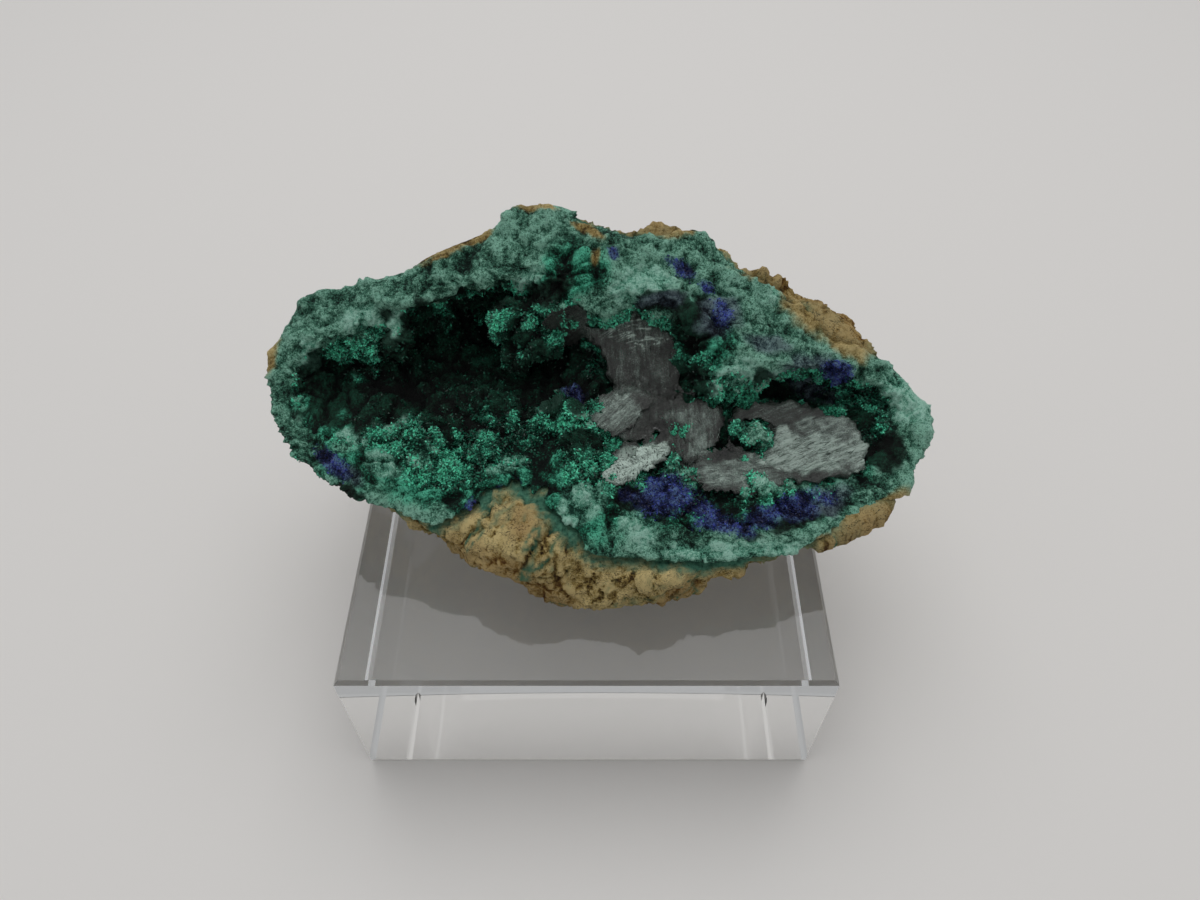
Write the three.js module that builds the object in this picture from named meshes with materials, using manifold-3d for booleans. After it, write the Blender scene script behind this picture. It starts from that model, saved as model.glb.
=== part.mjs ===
// A brochantite specimen resting on its clear display block.
//
// The specimen is a lump of brown host rock, broken open through a cavity. A crust of green
// brochantite lines the cavity and covers the broken face, and clear gypsum has grown in it:
// a column from floor to roof with its foot, and a flat slab in the right-hand pocket.
// The rock rests on the block by its own weight, on the high spots of its underside.
//
// Every outline of the broken face is a star seen from one centre. A square grid is bent
// into a disc, the disc is stretched to the outline, and a surface is read at each point:
// front and back share the grid, so each body closes. Joined and cut, they stay closed.
//
// Millimetres, +Z up. The origin is the centre of the block's underside. +X runs along the
// specimen's length, and the open face looks towards -Y and up.

import * as THREE from 'three';
import { mergeVertices } from 'three/addons/utils/BufferGeometryUtils.js';
import Module from 'manifold-3d';

const wasm = await Module();
wasm.setup();

// Driving dimensions
const BLOCK_SIDE = 50;
const BLOCK_HEIGHT = 20;
const BLOCK_CHAMFER = 0.4;
const REST_GAP = 0.05; // between the block and the spots of rock that stand on it
const CLEARANCE = 0.3; // between pieces that are grown against each other

// The broken face. Its own frame has x across, up along the face and out away from it.
const FACE_CENTRE = new THREE.Vector3(1.3, -2.3, BLOCK_HEIGHT + 15.8);
const FACE_ELEVATION = 50; // degrees above the horizon that the face frame looks
const FACE_LEAN_BACK = 0.17; // the face falls away by this much for each millimetre up
const FACE_DROOP = 4; // the two ends lie this far back
const HALF_LENGTH = 33;

// The cavity is bored into the rock along a line that leans up the face, under its roof.
const BORE_LEAN = 0.5;
const HOLLOW_BLEND = 1.2; // softness of the join where two hollows meet
const CRUST_THICKNESS = 2.9;
const CRUST_EDGE = 1.2;
const CRUST_THINNING = 0.25; // share of the outline's reach over which it thins to its edge
const CRUST_ROOT = 1.35; // times the thickness: how deep its solid goes before it is cut

const elevation = THREE.MathUtils.degToRad(FACE_ELEVATION);
const ACROSS = new THREE.Vector3(1, 0, 0);
const UP_FACE = new THREE.Vector3(0, Math.sin(elevation), Math.cos(elevation));
const OUT = new THREE.Vector3(0, -Math.cos(elevation), Math.sin(elevation));

const STAR_CENTRE = [0, 2]; // every outline is seen whole from here, in the face frame

// Edge of the crust in the face frame, anticlockwise from the right-hand end: [x, up].
const CRUST_OUTLINE = [
  [35.3, -0.3], [33.4, 2.0], [30.2, 4.8], [25.3, 8.1], [21.0, 10.9], [16.8, 12.9],
  [14.2, 14.6], [11.8, 17.7], [10.0, 18.6], [6.3, 17.4], [3.1, 17.7], [-1.2, 19.0],
  [-4.0, 21.0], [-7.4, 21.2], [-10.0, 20.2], [-10.8, 18.8], [-14.2, 17.2], [-19.0, 15.3],
  [-20.6, 13.7], [-25.0, 13.2], [-27.7, 12.3], [-30.3, 12.7], [-32.2, 11.0], [-34.4, 7.8],
  [-35.6, 4.6], [-34.5, -0.3], [-33.3, -3.5], [-31.2, -5.8], [-28.6, -8.2], [-25.0, -9.6],
  [-20.2, -11.1], [-16.0, -12.5], [-13.0, -11.0], [-10.0, -9.7], [-6.0, -10.0],
  [-2.5, -12.3], [-1.0, -15.2], [3.9, -15.4], [9.9, -15.9], [15.9, -15.5], [20.0, -14.8],
  [25.4, -11.7], [28.7, -10.5], [31.6, -8.9], [33.3, -6.1], [34.6, -3.0],
];

// Rim of the host rock: just inside the crust where the crust covers it, and outside it
// along the bottom, at the upper right and behind the top.
const ROCK_OUTLINE = [
  [34.8, -0.3], [32.8, 2.2], [30.2, 4.4], [28.9, 6.9], [27.6, 8.2], [25.8, 9.2],
  [22.4, 10.8], [20.3, 12.2], [19.6, 13.6], [17.1, 14.0], [14.7, 13.6], [11.6, 17.3],
  [9.0, 18.4], [5.6, 18.9], [3.6, 17.8], [0.0, 18.3], [-4.0, 20.6], [-7.4, 20.8],
  [-9.6, 19.8], [-10.5, 18.4], [-14.0, 16.8], [-18.8, 14.9], [-20.4, 13.4], [-24.8, 12.8],
  [-30.1, 12.2], [-31.9, 10.6], [-34.0, 7.6], [-35.1, 4.6], [-34.0, -0.2], [-32.8, -3.3],
  [-30.8, -5.4], [-28.2, -7.8], [-24.7, -9.2], [-20.0, -11.4], [-16.8, -13.4],
  [-11.8, -14.9], [-6.9, -16.2], [-3.4, -17.2], [2.0, -17.2], [6.9, -17.1], [9.5, -16.6],
  [14.8, -16.5], [18.9, -16.1], [22.0, -14.6], [25.3, -13.0], [30.0, -11.0], [31.6, -9.2],
  [33.8, -3.5],
];

// Widest line and standing edge of the rock, seen from above, sixteen points each,
// anticlockwise from the right-hand end: [x, y, height above the block].
const BELLY_LOOP = [
  [31, 3, 7], [27.5, 13, 9], [20, 20, 11], [11, 22.5, 12], [0, 24, 12], [-10, 23, 12],
  [-19, 20.5, 11], [-27, 14, 10], [-29.5, 5, 7.5], [-23.5, -3, 5.5], [-16, -10, 4.5],
  [-8, -15.2, 3.6], [0, -16.9, 2.9], [8, -16.8, 2.8], [18, -11.5, 4.5], [27, -5.5, 5],
];
const SEAT_LOOP = [
  [21, 2, 0], [19, 9, 0], [14, 14, 0], [8, 16, 0], [0, 18, 0], [-7, 16.5, 0], [-14, 14, 0],
  [-19, 9, 0], [-21, 3, 0], [-17.5, -2, 0], [-12.5, -7.5, 0], [-7, -12, 0],
  [0, -14.4, 0], [6, -14.2, 0], [12, -9, 0], [19, -3, 0],
];
const SEAT_CENTRE = [0, 1, 0.6];
const ROCK_MIDDLE = new THREE.Vector3(0, 3, BLOCK_HEIGHT + 11);
const SEAT_SHARE = 0.45; // the part of a back-grid radius that is underside
const BELLY_SHARE = 0.75;
const WALL_CALM = 0.12; // of a radius, the strip under the rim where the wall grows rough

// Flat breaks on the rock's back and underside: which way each faces, and how far it lies
// from the rock's middle.
const ROCK_BREAKS = [
  { facing: [0.15, 0.95, 0.28], reach: 18.2 },
  { facing: [-0.5, 0.83, 0.25], reach: 21.5 },
  { facing: [0.5, 0.84, 0.2], reach: 22 },
  { facing: [-0.1, 0.85, 0.5], reach: 18.3 },
  { facing: [0.4, 0.8, 0.45], reach: 19 },
  { facing: [-0.45, 0.75, 0.48], reach: 19.5 },
  { facing: [0.2, 0.75, -0.63], reach: 15.5 },
  { facing: [-0.5, 0.5, -0.7], reach: 17 },
  { facing: [0.6, 0.4, -0.7], reach: 20.5 },
];

// Hollows in the broken face. Each is deepest at (x, up) and runs out over its own reach
// to the left, right, upwards and downwards.
const HOLLOWS = [
  { x: -28, up: 2, left: 5.5, right: 9, above: 4.5, below: 6, depth: 7, power: 1.7 },
  { x: -19, up: 3, left: 10, right: 12, above: 8, below: 8.5, depth: 10.5, power: 1.9 },
  { x: -9, up: 3.5, left: 15, right: 11, above: 9.5, below: 7.5, depth: 14, power: 2.1 },
  { x: -10, up: -1, left: 16, right: 14, above: 10, below: 10.5, depth: 6, power: 1.5 },
  { x: 4, up: 2, left: 10, right: 8, above: 9, below: 13, depth: 8.5, power: 1.7 },
  { x: 12, up: -2, left: 8, right: 10, above: 5, below: 10.5, depth: 6, power: 1.7 },
  { x: 21, up: -1, left: 11, right: 11.5, above: 5, below: 11, depth: 8.5, power: 1.8 },
];

// Swellings of the rock itself, outside the crust: raised (or, negative, sunk) by height.
const ROCK_SWELLINGS = [
  { x: -7, up: -13.5, across: 9, along: 5, height: 2.4 },
  { x: 5, up: -17, across: 6, along: 2.2, height: 1.6 },
  { x: 25, up: 12, across: 8, along: 5, height: -3.5 },
  { x: 7, up: 20.5, across: 4, along: 2.5, height: -2.5 },
];

// Knobs of brochantite that stand out from the crust or hang from its roof. Each is an
// ellipsoid: place in the face frame, depth below the broken face, three half-axes.
const CRUST_KNOBS = [
  { x: -9.2, up: 9.4, depth: 3.8, size: [2.3, 2.2, 2.5] },
  { x: -6.9, up: 7.6, depth: 4.2, size: [2.2, 2.4, 2.4] },
  { x: -8.6, up: 5.9, depth: 4.8, size: [1.6, 1.7, 2.0] },
  { x: -5.0, up: 10.8, depth: 3.0, size: [2.3, 2.1, 2.4] },
  { x: 2.2, up: 12.4, depth: 1.9, size: [2.4, 2.3, 2.5] },
  { x: 5.4, up: 11.9, depth: 1.7, size: [2.6, 2.2, 2.4] },
  { x: -1.2, up: 14.2, depth: 1.5, size: [2.6, 2.4, 2.4] },
  { x: -4.4, up: 13.6, depth: 1.9, size: [2.3, 2.1, 2.4] },
  { x: -22.4, up: 10.4, depth: 3.0, size: [1.9, 1.9, 2.2] },
  { x: -21.9, up: 7.8, depth: 3.9, size: [1.6, 2.0, 2.0] },
  { x: -26.6, up: 9.6, depth: 3.0, size: [2.3, 2.0, 2.4] },
  { x: -25.4, up: 7.6, depth: 3.8, size: [1.8, 1.6, 2.2] },
  { x: 12.9, up: 4.0, depth: 2.9, size: [2.6, 2.0, 2.8] },
  { x: 16.4, up: 4.5, depth: 2.3, size: [2.6, 2.3, 2.8] },
  { x: 8.8, up: 11.2, depth: 3.0, size: [1.3, 1.7, 1.6] },
  { x: 16.0, up: -3.1, depth: 4.6, size: [2.0, 1.5, 3.0] },
  { x: -1.6, up: -0.8, depth: 5.2, size: [2.4, 1.6, 3.0] },
  { x: -4.6, up: -0.4, depth: 6.2, size: [2.1, 1.5, 3.0] },
  { x: -18.0, up: -4.6, depth: 3.6, size: [2.0, 2.1, 2.6] },
  { x: -20.2, up: -5.6, depth: 3.2, size: [1.7, 1.7, 2.2] },
  { x: 16.6, up: -8.6, depth: 3.0, size: [3.4, 1.3, 2.2] },
  { x: -27.4, up: -3.2, depth: 4.0, size: [3.6, 1.0, 2.0] },
];

// Gypsum plates. Outline in the face frame about its own centre; `out` is where the front
// of the plate lies there, and `fall` how far it drops back for each millimetre up.
const COLUMN_PLATES = [
  {
    name: 'column', centre: [4.6, 5.4], out: -5.0, fall: 0.05, thickness: 4.5,
    outline: [
      [9.2, 5.1], [8.5, 7.7], [7.5, 8.9], [5.9, 9.9], [3.2, 10.4], [-1.1, 10.6], [-2.8, 9.8],
      [-2.4, 8.3], [-0.6, 7.0], [0.8, 6.0], [0.6, 4.9], [1.9, 2.4], [2.2, -1.5], [5.9, -2.0],
      [9.3, -1.5],
    ],
  },
  {
    name: 'foot', centre: [6.0, -1.6], out: -3.0, fall: 0.25, thickness: 4.5,
    outline: [
      [13.0, -1.2], [13.1, 0.0], [10.4, 0.5], [6.8, 0.4], [5.0, 1.8], [2.0, 1.2], [-0.9, 0.9],
      [-0.4, -1.2], [-0.7, -2.2], [1.6, -3.0], [4.2, -1.7], [5.0, -3.3], [7.2, -3.6],
      [9.8, -5.0], [11.9, -4.2], [12.8, -3.0],
    ],
  },
  {
    name: 'blade', centre: [5.2, -5.4], out: -1.5, fall: 0.1, thickness: 3.4,
    outline: [
      [9.6, -4.0], [6.6, -3.5], [4.4, -4.2], [0.7, -5.2], [0.3, -7.5], [2.0, -7.7],
      [4.2, -6.8], [6.6, -6.4], [9.8, -6.2],
    ],
  },
];
const SLAB_PLATE = {
  name: 'slab', centre: [20.4, -4.0], out: -3.0, fall: 0.3, thickness: 5,
  outline: [
    [27.2, -3.8], [28.2, -2.8], [26.0, -1.8], [22.6, -0.5], [19.2, 0.4], [16.0, 0.0],
    [14.0, -1.2], [13.4, -2.6], [13.5, -4.6], [11.8, -5.6], [11.4, -7.0], [14.2, -8.6],
    [15.4, -8.2], [16.6, -7.7], [20.5, -7.6], [23.8, -7.4], [28.0, -5.9],
  ],
};

// Relief of the surfaces: knobs a given distance apart, and how far they stand out.
const CRUST_RELIEF = [
  { spacing: 4.2, height: 1.3 },
  { spacing: 2.3, height: 0.7 },
];
const ROCK_RELIEF = [
  { spacing: 9.0, height: 2.6 },
  { spacing: 4.2, height: 1.3 },
];
const GYPSUM_RELIEF = [{ spacing: 2.6, height: 0.5 }];
const RELIEF_LEVEL = 0.55; // of a knob's height, the part that is below the plain surface

// Grid divisions across and along the face
const CRUST_GRID = [38, 22];
const ROCK_GRID = [29, 18];
const PLATE_GRID = [9, 6];
const KNOB_DETAIL = 1;
const NORMAL_STEP = 0.3; // apart from each other, the points that a slope is read from

// A point of the face frame in the part's own frame.
function facePoint(x, up, out) {
  return FACE_CENTRE.clone()
    .addScaledVector(ACROSS, x)
    .addScaledVector(UP_FACE, up)
    .addScaledVector(OUT, out);
}

// Height of the unbroken sweep of the face, before any hollow.
function brokenFace(x, up) {
  return -FACE_LEAN_BACK * up - FACE_DROOP * (x / HALF_LENGTH) ** 2;
}

// A repeatable number from 0 to 1 for each whole-numbered cell and each salt.
function cellHash(i, j, k, salt) {
  const s = Math.sin(i * 127.1 + j * 311.7 + k * 74.7 + salt * 53.3) * 43758.5453;
  return s - Math.floor(s);
}

// Rounded knobs: 1 at the middle of a knob, falling to 0 between the knobs.
function knobs(p, spacing) {
  const q = p.clone().divideScalar(spacing);
  const cell = q.clone().floor();
  let nearest = 1;
  for (let i = -1; i <= 1; i++) {
    for (let j = -1; j <= 1; j++) {
      for (let k = -1; k <= 1; k++) {
        const [a, b, c] = [cell.x + i, cell.y + j, cell.z + k];
        const dx = a + cellHash(a, b, c, 1) - q.x;
        const dy = b + cellHash(a, b, c, 2) - q.y;
        const dz = c + cellHash(a, b, c, 3) - q.z;
        nearest = Math.min(nearest, dx * dx + dy * dy + dz * dz);
      }
    }
  }
  return 1 - nearest;
}

// Sum of the knobs of every size, about the level of the surface they stand on.
function relief(p, layers) {
  return layers.reduce((sum, l) => sum + l.height * (knobs(p, l.spacing) - RELIEF_LEVEL), 0);
}

// How far an outline reaches from its centre in a direction, straight between its points.
function reachOf(outline, centre) {
  const turn = 2 * Math.PI;
  const rays = outline
    .map(([x, up]) => {
      const angle = Math.atan2(up - centre[1], x - centre[0]);
      return [(angle + turn) % turn, Math.hypot(x - centre[0], up - centre[1])];
    })
    .sort((a, b) => a[0] - b[0]);
  const first = rays[0];
  const last = rays[rays.length - 1];
  const around = [[last[0] - turn, last[1]], ...rays, [first[0] + turn, first[1]]];
  return (angle) => {
    const a = ((angle % turn) + turn) % turn;
    const k = around.findIndex((ray) => ray[0] > a);
    const [a0, r0] = around[k - 1];
    const [a1, r1] = around[k];
    return r0 + ((r1 - r0) * (a - a0)) / (a1 - a0);
  };
}

const crustReach = reachOf(CRUST_OUTLINE, STAR_CENTRE);
const rockReach = reachOf(ROCK_OUTLINE, STAR_CENTRE);

// Depth of one hollow below the broken face: steep where its reach is short.
function depthOf(hollow, x, up) {
  const across = (x - hollow.x) / (x < hollow.x ? hollow.left : hollow.right);
  const along = (up - hollow.up) / (up < hollow.up ? hollow.below : hollow.above);
  const share = Math.hypot(across, along);
  return share < 1 ? hollow.depth * (1 - share ** hollow.power) : 0;
}

// Depth of all hollows together, with a soft join where two of them meet.
function cavityDepth(x, up) {
  const total = HOLLOWS.reduce(
    (sum, hollow) => sum + Math.expm1(depthOf(hollow, x, up) / HOLLOW_BLEND),
    1,
  );
  return HOLLOW_BLEND * Math.log(total);
}

// A rounded bump: 1 at its middle, 0 at its edge.
function bump(x, up, swelling) {
  const share = Math.hypot((x - swelling.x) / swelling.across, (up - swelling.up) / swelling.along);
  return share < 1 ? (1 - share * share) ** 2 : 0;
}

// Thickness of the crust, thin at its edge.
function crustThickness(x, up) {
  const [cx, cu] = STAR_CENTRE;
  const share = Math.hypot(x - cx, up - cu) / crustReach(Math.atan2(up - cu, x - cx));
  const inside = THREE.MathUtils.clamp((1 - share) / CRUST_THINNING, 0, 1);
  return CRUST_EDGE + (CRUST_THICKNESS - CRUST_EDGE) * inside;
}

// The cavity's surface, sunk by `extra` beyond the depth of the hollows.
function cavityPoint(x, up, extra) {
  const depth = cavityDepth(x, up) + extra;
  return facePoint(x, up + BORE_LEAN * depth, brokenFace(x, up) - depth);
}

// A surface pushed out along its own normal by its relief and by a growth.
function raisedPoint(surface, x, up, layers, grow) {
  const p = surface(x, up);
  const along = surface(x + NORMAL_STEP, up).sub(surface(x - NORMAL_STEP, up));
  const upwards = surface(x, up + NORMAL_STEP).sub(surface(x, up - NORMAL_STEP));
  const normal = along.cross(upwards).normalize();
  return p.clone().addScaledVector(normal, relief(p, layers) + grow);
}

const crustBase = (x, up) => cavityPoint(x, up, 0);
const crustBack = (x, up) => cavityPoint(x, up, crustThickness(x, up) * CRUST_ROOT);

function rockFront(x, up) {
  const raised = ROCK_SWELLINGS.reduce((sum, s) => sum + s.height * bump(x, up, s), 0);
  return cavityPoint(x, up, crustThickness(x, up) - raised);
}

// A smooth closed loop through points, read at an angle about it.
function loopOf(points) {
  const curve = new THREE.CatmullRomCurve3(
    points.map(([x, y, z]) => new THREE.Vector3(x, y, BLOCK_HEIGHT + z)),
    true,
    'catmullrom',
    0.5,
  );
  const turn = 2 * Math.PI;
  return (angle) => curve.getPoint((((angle % turn) + turn) % turn) / turn);
}

const bellyAt = loopOf(BELLY_LOOP);
const seatAt = loopOf(SEAT_LOOP);

function rimAt(angle) {
  const reach = rockReach(angle);
  const [cx, cu] = STAR_CENTRE;
  return rockFront(cx + reach * Math.cos(angle), cu + reach * Math.sin(angle));
}

// Underside, wall and rim of the rock: out from the middle of the seat, up round the belly.
function rockBack(share, angle) {
  const [sx, sy, sz] = SEAT_CENTRE;
  const centre = new THREE.Vector3(sx, sy, BLOCK_HEIGHT + sz);
  const seat = seatAt(angle);
  const belly = bellyAt(angle);
  const rim = rimAt(angle);
  if (share <= SEAT_SHARE) return centre.lerp(seat, share / SEAT_SHARE);
  const wall = new THREE.CatmullRomCurve3([seat, belly, rim]);
  const climb =
    share < BELLY_SHARE
      ? (0.5 * (share - SEAT_SHARE)) / (BELLY_SHARE - SEAT_SHARE)
      : 0.5 + (0.5 * (share - BELLY_SHARE)) / (1 - BELLY_SHARE);
  return wall.getPoint(climb);
}

// The wall with its flat breaks and its relief, both fading out towards the rim, and
// nothing below the seat.
function roughRockBack(share, angle) {
  const p = rockBack(share, angle);
  const ray = p.clone().sub(ROCK_MIDDLE);
  const far = ray.length();
  const kept = ROCK_BREAKS.reduce((reach, b) => {
    const [fx, fy, fz] = b.facing;
    const cosine = (ray.x * fx + ray.y * fy + ray.z * fz) / (far * Math.hypot(fx, fy, fz));
    return cosine > 0 ? Math.min(reach, b.reach / cosine) : reach;
  }, far);
  const fade = THREE.MathUtils.clamp((1 - share) / WALL_CALM, 0, 1);
  p.addScaledVector(ray.divideScalar(far), fade * (kept - far + relief(p, ROCK_RELIEF)));
  p.z = Math.max(p.z, BLOCK_HEIGHT + REST_GAP);
  return p;
}

// Square grid bent into a disc: radius share and angle of each grid point.
function discPoint(a, b) {
  if (a === 0 && b === 0) return [0, 0];
  const flat = Math.abs(a) > Math.abs(b);
  const radius = flat ? a : b;
  const angle = flat ? (Math.PI / 4) * (b / a) : Math.PI / 2 - (Math.PI / 4) * (a / b);
  return radius < 0 ? [-radius, angle + Math.PI] : [radius, angle];
}

// A closed body from a front and a back that share one disc grid, with a wall between
// their edges unless the two already meet there.
function closedBody([columns, rows], front, back, walled) {
  const positions = [];
  const index = [];
  const stride = columns + 1;
  for (const side of [front, back]) {
    for (let j = 0; j <= rows; j++) {
      for (let i = 0; i <= columns; i++) {
        const [share, angle] = discPoint((2 * i) / columns - 1, (2 * j) / rows - 1);
        positions.push(...side(share, angle).toArray());
      }
    }
  }
  const offset = stride * (rows + 1);
  for (let j = 0; j < rows; j++) {
    for (let i = 0; i < columns; i++) {
      const a = j * stride + i;
      const [b, c, d] = [a + 1, a + stride + 1, a + stride];
      index.push(a, b, c, a, c, d);
      index.push(offset + a, offset + c, offset + b, offset + a, offset + d, offset + c);
    }
  }
  if (walled) {
    const edge = [];
    for (let i = 0; i < columns; i++) edge.push(i);
    for (let j = 0; j < rows; j++) edge.push(j * stride + columns);
    for (let i = columns; i > 0; i--) edge.push(rows * stride + i);
    for (let j = rows; j > 0; j--) edge.push(j * stride);
    edge.forEach((a, n) => {
      const b = edge[(n + 1) % edge.length];
      index.push(a, offset + a, b, b, offset + a, offset + b);
    });
  }
  const geometry = new THREE.BufferGeometry();
  geometry.setAttribute('position', new THREE.Float32BufferAttribute(positions, 3));
  geometry.setIndex(index);
  return geometry;
}

// A three.js geometry as a solid for joining and cutting.
function solidOf(geometry) {
  const bare = geometry.clone();
  bare.deleteAttribute('normal');
  bare.deleteAttribute('uv');
  const merged = mergeVertices(bare, 1e-4);
  const corners = Array.from(merged.index.array);
  const triVerts = [];
  for (let i = 0; i < corners.length; i += 3) {
    const [a, b, c] = corners.slice(i, i + 3);
    if (a !== b && b !== c && a !== c) triVerts.push(a, b, c);
  }
  return new wasm.Manifold(
    new wasm.Mesh({
      numProp: 3,
      vertProperties: merged.attributes.position.array,
      triVerts: new Uint32Array(triVerts),
    }),
  );
}

// The largest body of a solid, as a geometry again: cutting can leave crumbs.
function geometryOf(solid) {
  const largest = solid.decompose().reduce((a, b) => (b.volume() > a.volume() ? b : a));
  const mesh = largest.getMesh();
  const geometry = new THREE.BufferGeometry();
  geometry.setAttribute('position', new THREE.BufferAttribute(mesh.vertProperties, 3));
  geometry.setIndex(new THREE.BufferAttribute(mesh.triVerts, 1));
  return geometry;
}

// Reads a face-frame surface over the disc inside an outline.
function overOutline(reach, [cx, cu], surface) {
  return (share, angle) => {
    const r = share * reach(angle);
    return surface(cx + r * Math.cos(angle), cu + r * Math.sin(angle));
  };
}

const material = (color, roughness, options = {}) =>
  new THREE.MeshStandardMaterial({ color, roughness, metalness: 0, ...options });

function acrylicBlock() {
  const half = BLOCK_SIDE / 2 - BLOCK_CHAMFER;
  const square = new THREE.Shape([
    new THREE.Vector2(-half, -half),
    new THREE.Vector2(half, -half),
    new THREE.Vector2(half, half),
    new THREE.Vector2(-half, half),
  ]);
  const geometry = new THREE.ExtrudeGeometry(square, {
    depth: BLOCK_HEIGHT - 2 * BLOCK_CHAMFER,
    bevelEnabled: true,
    bevelThickness: BLOCK_CHAMFER,
    bevelSize: BLOCK_CHAMFER,
    bevelSegments: 1,
  });
  const mesh = new THREE.Mesh(geometry, material(0xe9ebe8, 0.05, { transparent: true, opacity: 0.35 }));
  mesh.position.z = BLOCK_CHAMFER;
  return mesh;
}

// The rock, or the room that it takes up when it is grown all round by a clearance.
function rockSolid(grow) {
  const front = overOutline(rockReach, STAR_CENTRE, (x, up) =>
    raisedPoint(rockFront, x, up, [], grow),
  );
  const isRim = (share) => share > 1 - 1e-6;
  const away = (p) => p.addScaledVector(p.clone().sub(ROCK_MIDDLE).normalize(), grow);
  return solidOf(
    closedBody(
      ROCK_GRID,
      (share, angle) => (isRim(share) ? away(front(share, angle)) : front(share, angle)),
      (share, angle) => away(isRim(share) ? front(share, angle) : roughRockBack(share, angle)),
      false,
    ),
  );
}

// One knob: a ball squeezed to its half-axes and roughened.
function knobSolid({ x, up, depth, size }, grow) {
  const geometry = new THREE.IcosahedronGeometry(1, KNOB_DETAIL);
  const at = geometry.attributes.position;
  const out = brokenFace(x, up) - depth;
  for (let i = 0; i < at.count; i++) {
    const v = new THREE.Vector3().fromBufferAttribute(at, i);
    const p = facePoint(
      x + v.x * (size[0] + grow),
      up + v.y * (size[1] + grow),
      out + v.z * (size[2] + grow),
    );
    const away = p.clone().sub(facePoint(x, up, out)).normalize();
    p.addScaledVector(away, relief(p, CRUST_RELIEF));
    at.setXYZ(i, p.x, p.y, p.z);
  }
  return solidOf(geometry);
}

// The crust, or the room that it takes up when everything is grown by a clearance.
function crustSolid(grow, rockRoom) {
  const front = overOutline(crustReach, STAR_CENTRE, (x, up) =>
    raisedPoint(crustBase, x, up, CRUST_RELIEF, grow),
  );
  const back = overOutline(crustReach, STAR_CENTRE, crustBack);
  const sheet = solidOf(closedBody(CRUST_GRID, front, back, true));
  const joined = CRUST_KNOBS.reduce((solid, knob) => solid.add(knobSolid(knob, grow)), sheet);
  return joined.subtract(rockRoom);
}

// One gypsum plate: a rough front, and a thickness that runs back into the floor.
function plateSolid({ centre, outline, out, fall, thickness }) {
  const surface = (x, up, back) => {
    const p = facePoint(x, up, out - fall * (up - centre[1]) - back);
    return p.addScaledVector(OUT, back ? 0 : relief(p, GYPSUM_RELIEF));
  };
  const reach = reachOf(outline, centre);
  const front = overOutline(reach, centre, (x, up) => surface(x, up, 0));
  const back = overOutline(reach, centre, (x, up) => surface(x, up, thickness));
  return solidOf(closedBody(PLATE_GRID, front, back, true));
}

const rock = rockSolid(0);
const rockRoom = rockSolid(CLEARANCE).add(rock);
const crust = crustSolid(0, rockRoom);
const grownOver = crustSolid(CLEARANCE, rock).add(rockRoom);
const slab = plateSolid(SLAB_PLATE).subtract(grownOver);
const column = COLUMN_PLATES.map(plateSolid)
  .reduce((a, b) => a.add(b))
  .subtract(grownOver);

const specimen = new THREE.Group();
const pieces = {
  host_rock: new THREE.Mesh(geometryOf(rock), material(0xa3814f, 0.95)),
  brochantite_crust: new THREE.Mesh(geometryOf(crust), material(0x2c6b54, 0.7)),
  gypsum_column: new THREE.Mesh(
    geometryOf(column),
    material(0x8c8f8a, 0.3, { transparent: true, opacity: 0.5 }),
  ),
  gypsum_slab: new THREE.Mesh(
    geometryOf(slab),
    material(0x9aa39b, 0.3, { transparent: true, opacity: 0.5 }),
  ),
};
for (const [name, mesh] of Object.entries(pieces)) {
  mesh.name = name;
  specimen.add(mesh);
}

const block = acrylicBlock();
block.name = 'acrylic_block';

const part = new THREE.Group();
part.add(block, specimen);

export default part;
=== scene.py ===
"""A brochantite specimen on its clear display block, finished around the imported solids."""

import math

import bmesh
import bpy
import numpy as np
from mathutils import Matrix


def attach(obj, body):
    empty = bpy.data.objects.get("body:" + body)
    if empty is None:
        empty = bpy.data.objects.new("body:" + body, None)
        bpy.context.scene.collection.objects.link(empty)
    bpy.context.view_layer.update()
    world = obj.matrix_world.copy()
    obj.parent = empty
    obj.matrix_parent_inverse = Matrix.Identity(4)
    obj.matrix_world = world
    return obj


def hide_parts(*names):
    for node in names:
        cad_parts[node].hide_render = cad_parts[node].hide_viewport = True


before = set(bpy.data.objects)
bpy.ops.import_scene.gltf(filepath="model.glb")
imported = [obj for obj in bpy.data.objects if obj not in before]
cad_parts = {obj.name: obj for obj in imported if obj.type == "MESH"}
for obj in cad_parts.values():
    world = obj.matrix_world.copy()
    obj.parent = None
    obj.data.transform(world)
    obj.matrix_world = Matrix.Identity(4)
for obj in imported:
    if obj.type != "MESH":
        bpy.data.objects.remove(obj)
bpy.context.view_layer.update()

# The view. A phone is held over the specimen and looks down on its open face. Its place was
# worked out from the corners of the block, which is taken as 50 x 50 x 20 mm.
MM = 0.001
LENS_PLACE = np.array([1.33, -64.3, 102.68])  # from the centre of the block's underside
LENS_DOWN = math.radians(50)
LENS_LENGTH = 27
SENSOR_WIDTH = 36
SIGHT = np.array([0, math.cos(LENS_DOWN), -math.sin(LENS_DOWN)])  # the way the phone looks
UPWARD = np.array([0, math.sin(LENS_DOWN), math.cos(LENS_DOWN)])  # up in the picture

lens = bpy.data.cameras.new("phone")
lens.sensor_width = SENSOR_WIDTH
lens.lens = LENS_LENGTH
lens.clip_start = 10 * MM
phone = bpy.data.objects.new("phone", lens)
phone.location = LENS_PLACE * MM
phone.rotation_euler = (math.pi / 2 - LENS_DOWN, 0, 0)
bpy.context.scene.collection.objects.link(phone)
bpy.context.scene.camera = phone
bpy.context.scene.view_settings.view_transform = "Standard"

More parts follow.
